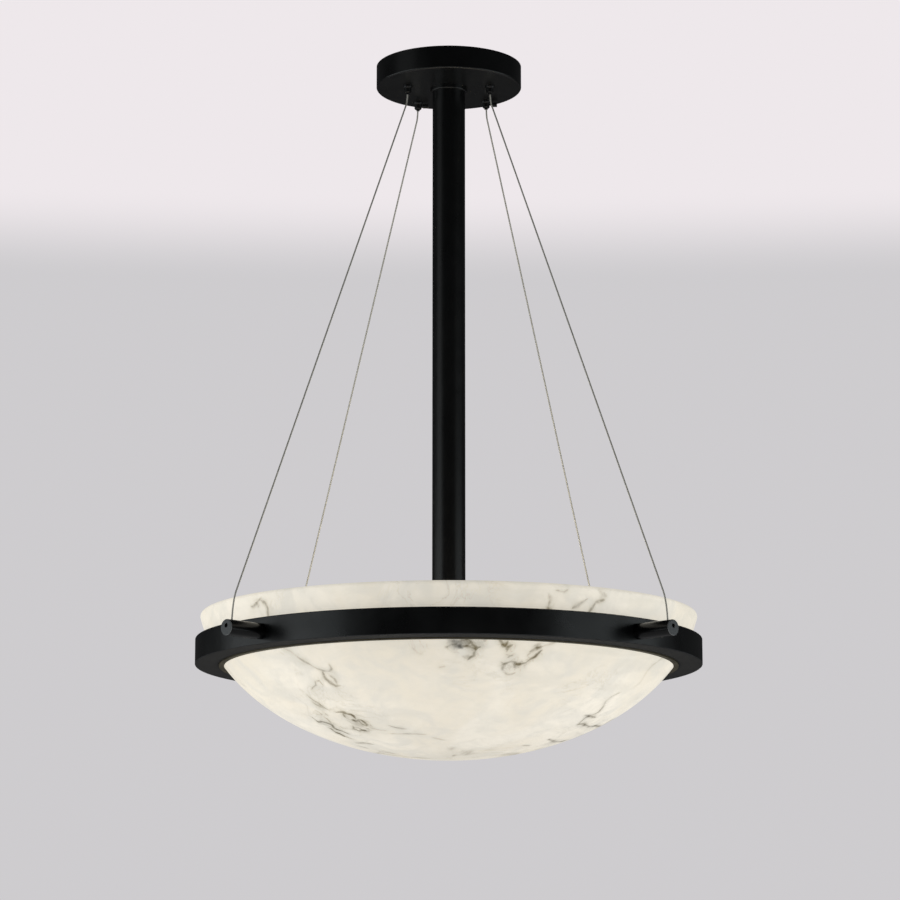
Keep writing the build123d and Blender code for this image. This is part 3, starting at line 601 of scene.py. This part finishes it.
def stone_with_painted_light():
    f = Finish("alabaster")

    def layer(name):
        node = f.add("ShaderNodeAttribute")
        node.attribute_name = name
        return node.outputs["Fac"]

    vein, near, tint = layer("vein"), layer("vein_near"), layer("vein_tint")
    # broad clouds, milky patches, slanting layers and a fine mottle
    clouds = f.noise(8.0, 5.0, 0.58, distort=0.8)
    patches = f.noise(21.0, 6.0, 0.62, distort=1.1)
    layers = f.noise(7.0, 5.0, 0.62, vector=f.stretch((1.0, 1.0, 5.5), (0.35, 0.5, 0.2)), distort=0.5)
    mottle = f.noise(85.0, 6.0, 0.65, distort=0.7)
    cream = f.blend(f.span(clouds, 0.36, 0.64, smooth=True), STONE_WARM, STONE_PALE)
    cream = f.blend(f.span(patches, 0.44, 0.66, 0.0, 0.75, smooth=True), cream, STONE_GREY)
    cream = f.blend(f.span(layers, 0.48, 0.66, 0.0, 0.55, smooth=True), cream, STONE_SHADE)
    cream = f.blend(f.span(mottle, 0.40, 0.70, 0.0, 0.42, smooth=True), cream, STONE_FLECK)
    # thin scattered veins: the lines where two soft fields cross a level
    bent = f.noise(15.0, 7.0, 0.64, distort=1.5)
    thin = f.span(f.math("ABSOLUTE", f.math("SUBTRACT", bent, 0.5)), 0.0, 0.022, 1.0, 0.0, smooth=True)
    where = f.span(f.noise(8.0, 3.0, 0.5, vector=f.stretch((1, 1, 1.4), (0, 0.4, 1.1))), 0.50, 0.66, smooth=True)
    thin = f.math("MULTIPLY", thin, where)
    # broken cracks and specks close to the main veins
    crack = f.noise(44.0, 4.0, 0.55, distort=1.2)
    crack = f.span(f.math("ABSOLUTE", f.math("SUBTRACT", crack, 0.5)), 0.0, 0.035, 1.0, 0.0, smooth=True)
    crack = f.math("MULTIPLY", crack, f.span(near, 0.12, 0.60, smooth=True))
    ragged = f.noise(150.0, 6.0, 0.66)
    body = f.math("MULTIPLY", vein, f.span(ragged, 0.30, 0.64, 0.42, 1.30))
    veins = f.math("MAXIMUM", f.math("MULTIPLY", crack, 0.26), f.math("MULTIPLY", thin, 0.17))
    veins = f.math("MAXIMUM", veins, body, clamp=True)
    smoke = f.math("MULTIPLY", near, f.span(patches, 0.32, 0.62, 0.22, 0.62), clamp=True)
    hue = f.math("ADD", tint, f.span(f.noise(40.0, 2.0), 0.3, 0.7, -0.25, 0.25), clamp=True)
    vein_colour = f.blend(hue, VEIN_OLIVE, VEIN_GREY)
    smoke_colour = f.blend(hue, SMOKE_OLIVE, SMOKE_GREY)
    stone = f.blend(smoke, cream, smoke_colour)
    stone = f.blend(veins, stone, vein_colour)
    # painted light: the emission level is raised towards the two sides, standing for the side light
    parts = f.add("ShaderNodeSeparateXYZ")
    f.join(f.place, parts.inputs[0])
    side = f.math("POWER", f.math("ABSOLUTE", f.math("DIVIDE", parts.outputs[0], BOWL_A)), 1.25)
    painted_light_level = f.span(side, 0.0, 1.0, PAINTED_LIGHT_MIDDLE, PAINTED_LIGHT_SIDE)
    # and a painted brighter band below the bulbs, between the bottom and the ring
    painted_light_under_bulbs = f.math("MULTIPLY", f.span(parts.outputs[2], -0.812, -0.775, 0.35, 1.0, smooth=True), f.span(parts.outputs[2], -0.755, -0.712, 1.0, 0.0, smooth=True))
    painted_light_level = f.math("ADD", painted_light_level, f.math("MULTIPLY", painted_light_under_bulbs, 0.055))
    # painted glow: the stone's colour times these levels goes into the emission, so the whole bowl glows evenly by
    # itself; the base colour is the stone's at 0.62
    painted_light_emission = f.blend(1.0, stone, f.blend(painted_light_level, (0.0, 0.0, 0.0), (1.0, 1.0, 1.0)), "MULTIPLY")
    f.colour(f.blend(0.38, stone, (0.0, 0.0, 0.0)))
    f.put(f.shader.inputs["Emission Color"], painted_light_emission)
    f.set(Emission_Strength=1.0, IOR=1.52, Coat_Weight=0.0)
    f.rough(f.span(patches, 0.3, 0.7, 0.42, 0.56))
    f.bump(f.math("SUBTRACT", f.math("MULTIPLY", f.noise(320.0, 3.0), 0.5), f.math("MULTIPLY", veins, 0.7)), 0.12, 0.0002)
    return f.material


STONE_PALE, STONE_WARM = (1.00, 0.935, 0.810), (0.94, 0.865, 0.725)
STONE_GREY, STONE_SHADE = (0.82, 0.785, 0.700), (0.80, 0.755, 0.655)
STONE_FLECK = (0.84, 0.80, 0.70)
VEIN_OLIVE, VEIN_GREY = (0.170, 0.128, 0.052), (0.135, 0.128, 0.110)
SMOKE_OLIVE, SMOKE_GREY = (0.52, 0.47, 0.34), (0.49, 0.48, 0.45)
PAINTED_LIGHT_MIDDLE, PAINTED_LIGHT_SIDE = 0.585, 0.76
bowl = make_bowl()
bowl.data.materials.append(stone_with_painted_light())

# ------------------------------------------------------------------- cables
# Up out of a rod, one long straight run, and up into a gripper. The second
# and fifth points are the two corners; the ones beside them keep the run
# straight.
CABLES = {
    "front_left": (
        (-0.23184, -0.23428, -0.70200),
        (-0.23184, -0.23428, -0.66900),
        (-0.22303, -0.22363, -0.63903),
        (-0.05123, -0.01585, -0.05440),
        (-0.04803, -0.01198, -0.04350),
        (-0.04803, -0.01198, -0.01900),
    ),
    "front_right": (
        (0.23428, -0.23184, -0.70200),
        (0.23428, -0.23184, -0.66900),
        (0.22535, -0.22130, -0.63903),
        (0.05127, -0.01581, -0.05440),
        (0.04803, -0.01198, -0.04350),
        (0.04803, -0.01198, -0.01900),
    ),
    "back_right": (
        (0.19140, 0.26833, -0.70200),
        (0.19140, 0.26833, -0.66900),
        (0.18425, 0.25767, -0.63860),
        (0.04693, 0.05277, -0.05455),
        (0.04433, 0.04889, -0.04350),
        (0.04433, 0.04889, -0.01900),
    ),
    "back_left": (
        (-0.19559, 0.26529, -0.70200),
        (-0.19559, 0.26529, -0.66900),
        (-0.18787, 0.25506, -0.63859),
        (-0.03952, 0.05857, -0.05456),
        (-0.03672, 0.05484, -0.04350),
        (-0.03672, 0.05484, -0.01900),
    ),
}
for side, points in CABLES.items():
    line = bpy.data.curves.new(f"wire_{side}", "CURVE")
    line.dimensions = "3D"
    line.resolution_u = 16
    line.bevel_depth = 0.0009
    line.bevel_resolution = 3
    line.use_fill_caps = True
    spline = line.splines.new("NURBS")
    spline.points.add(len(points) - 1)
    for point, place in zip(spline.points, points):
        point.co = (*place, 1.0)
    spline.order_u = 3
    spline.use_endpoint_u = True
    wire_object = bpy.data.objects.new(f"wire_{side}", line)
    scene.collection.objects.link(wire_object)
    line.materials.append(wire)
    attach(wire_object, "fixture")
    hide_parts(f"cable_{side}")

# ------------------------------------------------- finishes on the CAD nodes
for entry in frame["record"]["subparts"]:
    node = nodes[entry["node"]]
    finish = by_slot.get(entry["material_slot"])
    if finish is None:
        continue
    if entry["node"].startswith("cable_rod_"):
        finish = rod_coat
    elif entry["node"] == "support_ring":
        finish = ring_coat
    if not node.material_slots:
        node.data.materials.append(finish)
    for material_slot in node.material_slots:
        material_slot.material = finish

# ----------------------------------------------------------- floor and light
def stage_finish():
    f = Finish("stage_pale")
    clouds = f.noise(0.8, 5.0, 0.6)
    specks = f.noise(30.0, 3.0)
    f.colour(f.blend(f.span(clouds, 0.3, 0.7, smooth=True), (0.70, 0.69, 0.70), (0.76, 0.75, 0.76)))
    f.rough(f.span(specks, 0.3, 0.7, 0.75, 0.9))
    f.set(Emission_Color=(0.70, 0.69, 0.70, 1.0), Emission_Strength=0.30)
    f.bump(specks, 0.1, 0.001)
    return f.material


floor_mesh = bpy.data.meshes.new("stage_floor")
turns = [math.radians(7.5 * i) for i in range(48)]
floor_mesh.from_pydata(
    [(0.0, 0.0, -2.2)] + [(3.4 * math.cos(a), 3.4 * math.sin(a), -2.2) for a in turns],
    [],
    [(0, 1 + i, 1 + (i + 1) % 48) for i in range(48)],
)
floor = bpy.data.objects.new("stage_floor", floor_mesh)
scene.collection.objects.link(floor)
floor_mesh.materials.append(stage_finish())


def softbox(name, place, target, width, height, watts, tone=(1.0, 1.0, 1.0)):
    data = bpy.data.lights.new(name, "AREA")
    data.shape = "RECTANGLE"
    data.size, data.size_y = width, height
    data.energy = watts
    data.color = tone
    lamp = bpy.data.objects.new(name, data)
    scene.collection.objects.link(lamp)
    lamp.location = place
    aim = Vector(target) - Vector(place)
    lamp.rotation_euler = aim.to_track_quat("-Z", "Y").to_euler()
    lamp.visible_camera = False
    return lamp


softbox("softbox_left", (-2.6, -0.2, -0.9), (0, 0, -0.6), 2.6, 1.2, 10.5, (0.92, 0.98, 1.0))
softbox("softbox_high_left", (-2.5, -0.9, 0.15), (0, 0, -0.4), 1.6, 1.2, 2.0, (0.95, 0.99, 1.0))
softbox("softbox_front_left", (-2.35, -1.75, -0.8), (0, 0, -0.6), 0.9, 1.2, 3.6, (0.88, 0.97, 1.0))
softbox("softbox_right", (2.5, -0.7, -0.95), (0, 0, -0.6), 2.8, 1.5, 12.0, (0.90, 0.98, 1.0))
softbox("softbox_low_front", (0.0, -2.6, -1.95), (0, 0, -0.65), 2.6, 1.1, 8.0, (1.0, 0.98, 0.95))

world = bpy.data.worlds.new("studio")
scene.world = world
world.use_nodes = True
tree = world.node_tree
tree.nodes.clear()
world_out = tree.nodes.new("ShaderNodeOutputWorld")
mixer = tree.nodes.new("ShaderNodeMixShader")
seen = tree.nodes.new("ShaderNodeBackground")
dim = tree.nodes.new("ShaderNodeBackground")
path = tree.nodes.new("ShaderNodeLightPath")
direction = tree.nodes.new("ShaderNodeTexCoord")
split = tree.nodes.new("ShaderNodeSeparateXYZ")
height = tree.nodes.new("ShaderNodeMapRange")
height.interpolation_type = "SMOOTHSTEP"
height.inputs["From Min"].default_value = 0.235
height.inputs["From Max"].default_value = 0.262
tones = tree.nodes.new("ShaderNodeMix")
tones.data_type = "RGBA"
tones.inputs[6].default_value = (0.617, 0.604, 0.621, 1.0)
tones.inputs[7].default_value = (0.855, 0.807, 0.831, 1.0)
tree.links.new(direction.outputs["Generated"], split.inputs[0])
tree.links.new(split.outputs[2], height.inputs["Value"])
tree.links.new(height.outputs[0], tones.inputs[0])
tree.links.new(tones.outputs[2], seen.inputs["Color"])
seen.inputs["Strength"].default_value = 1.0
dim.inputs["Color"].default_value = (0.95, 0.97, 1.0, 1.0)
dim.inputs["Strength"].default_value = 0.035
tree.links.new(path.outputs["Is Camera Ray"], mixer.inputs[0])
tree.links.new(dim.outputs[0], mixer.inputs[1])
tree.links.new(seen.outputs[0], mixer.inputs[2])
tree.links.new(mixer.outputs[0], world_out.inputs[0])
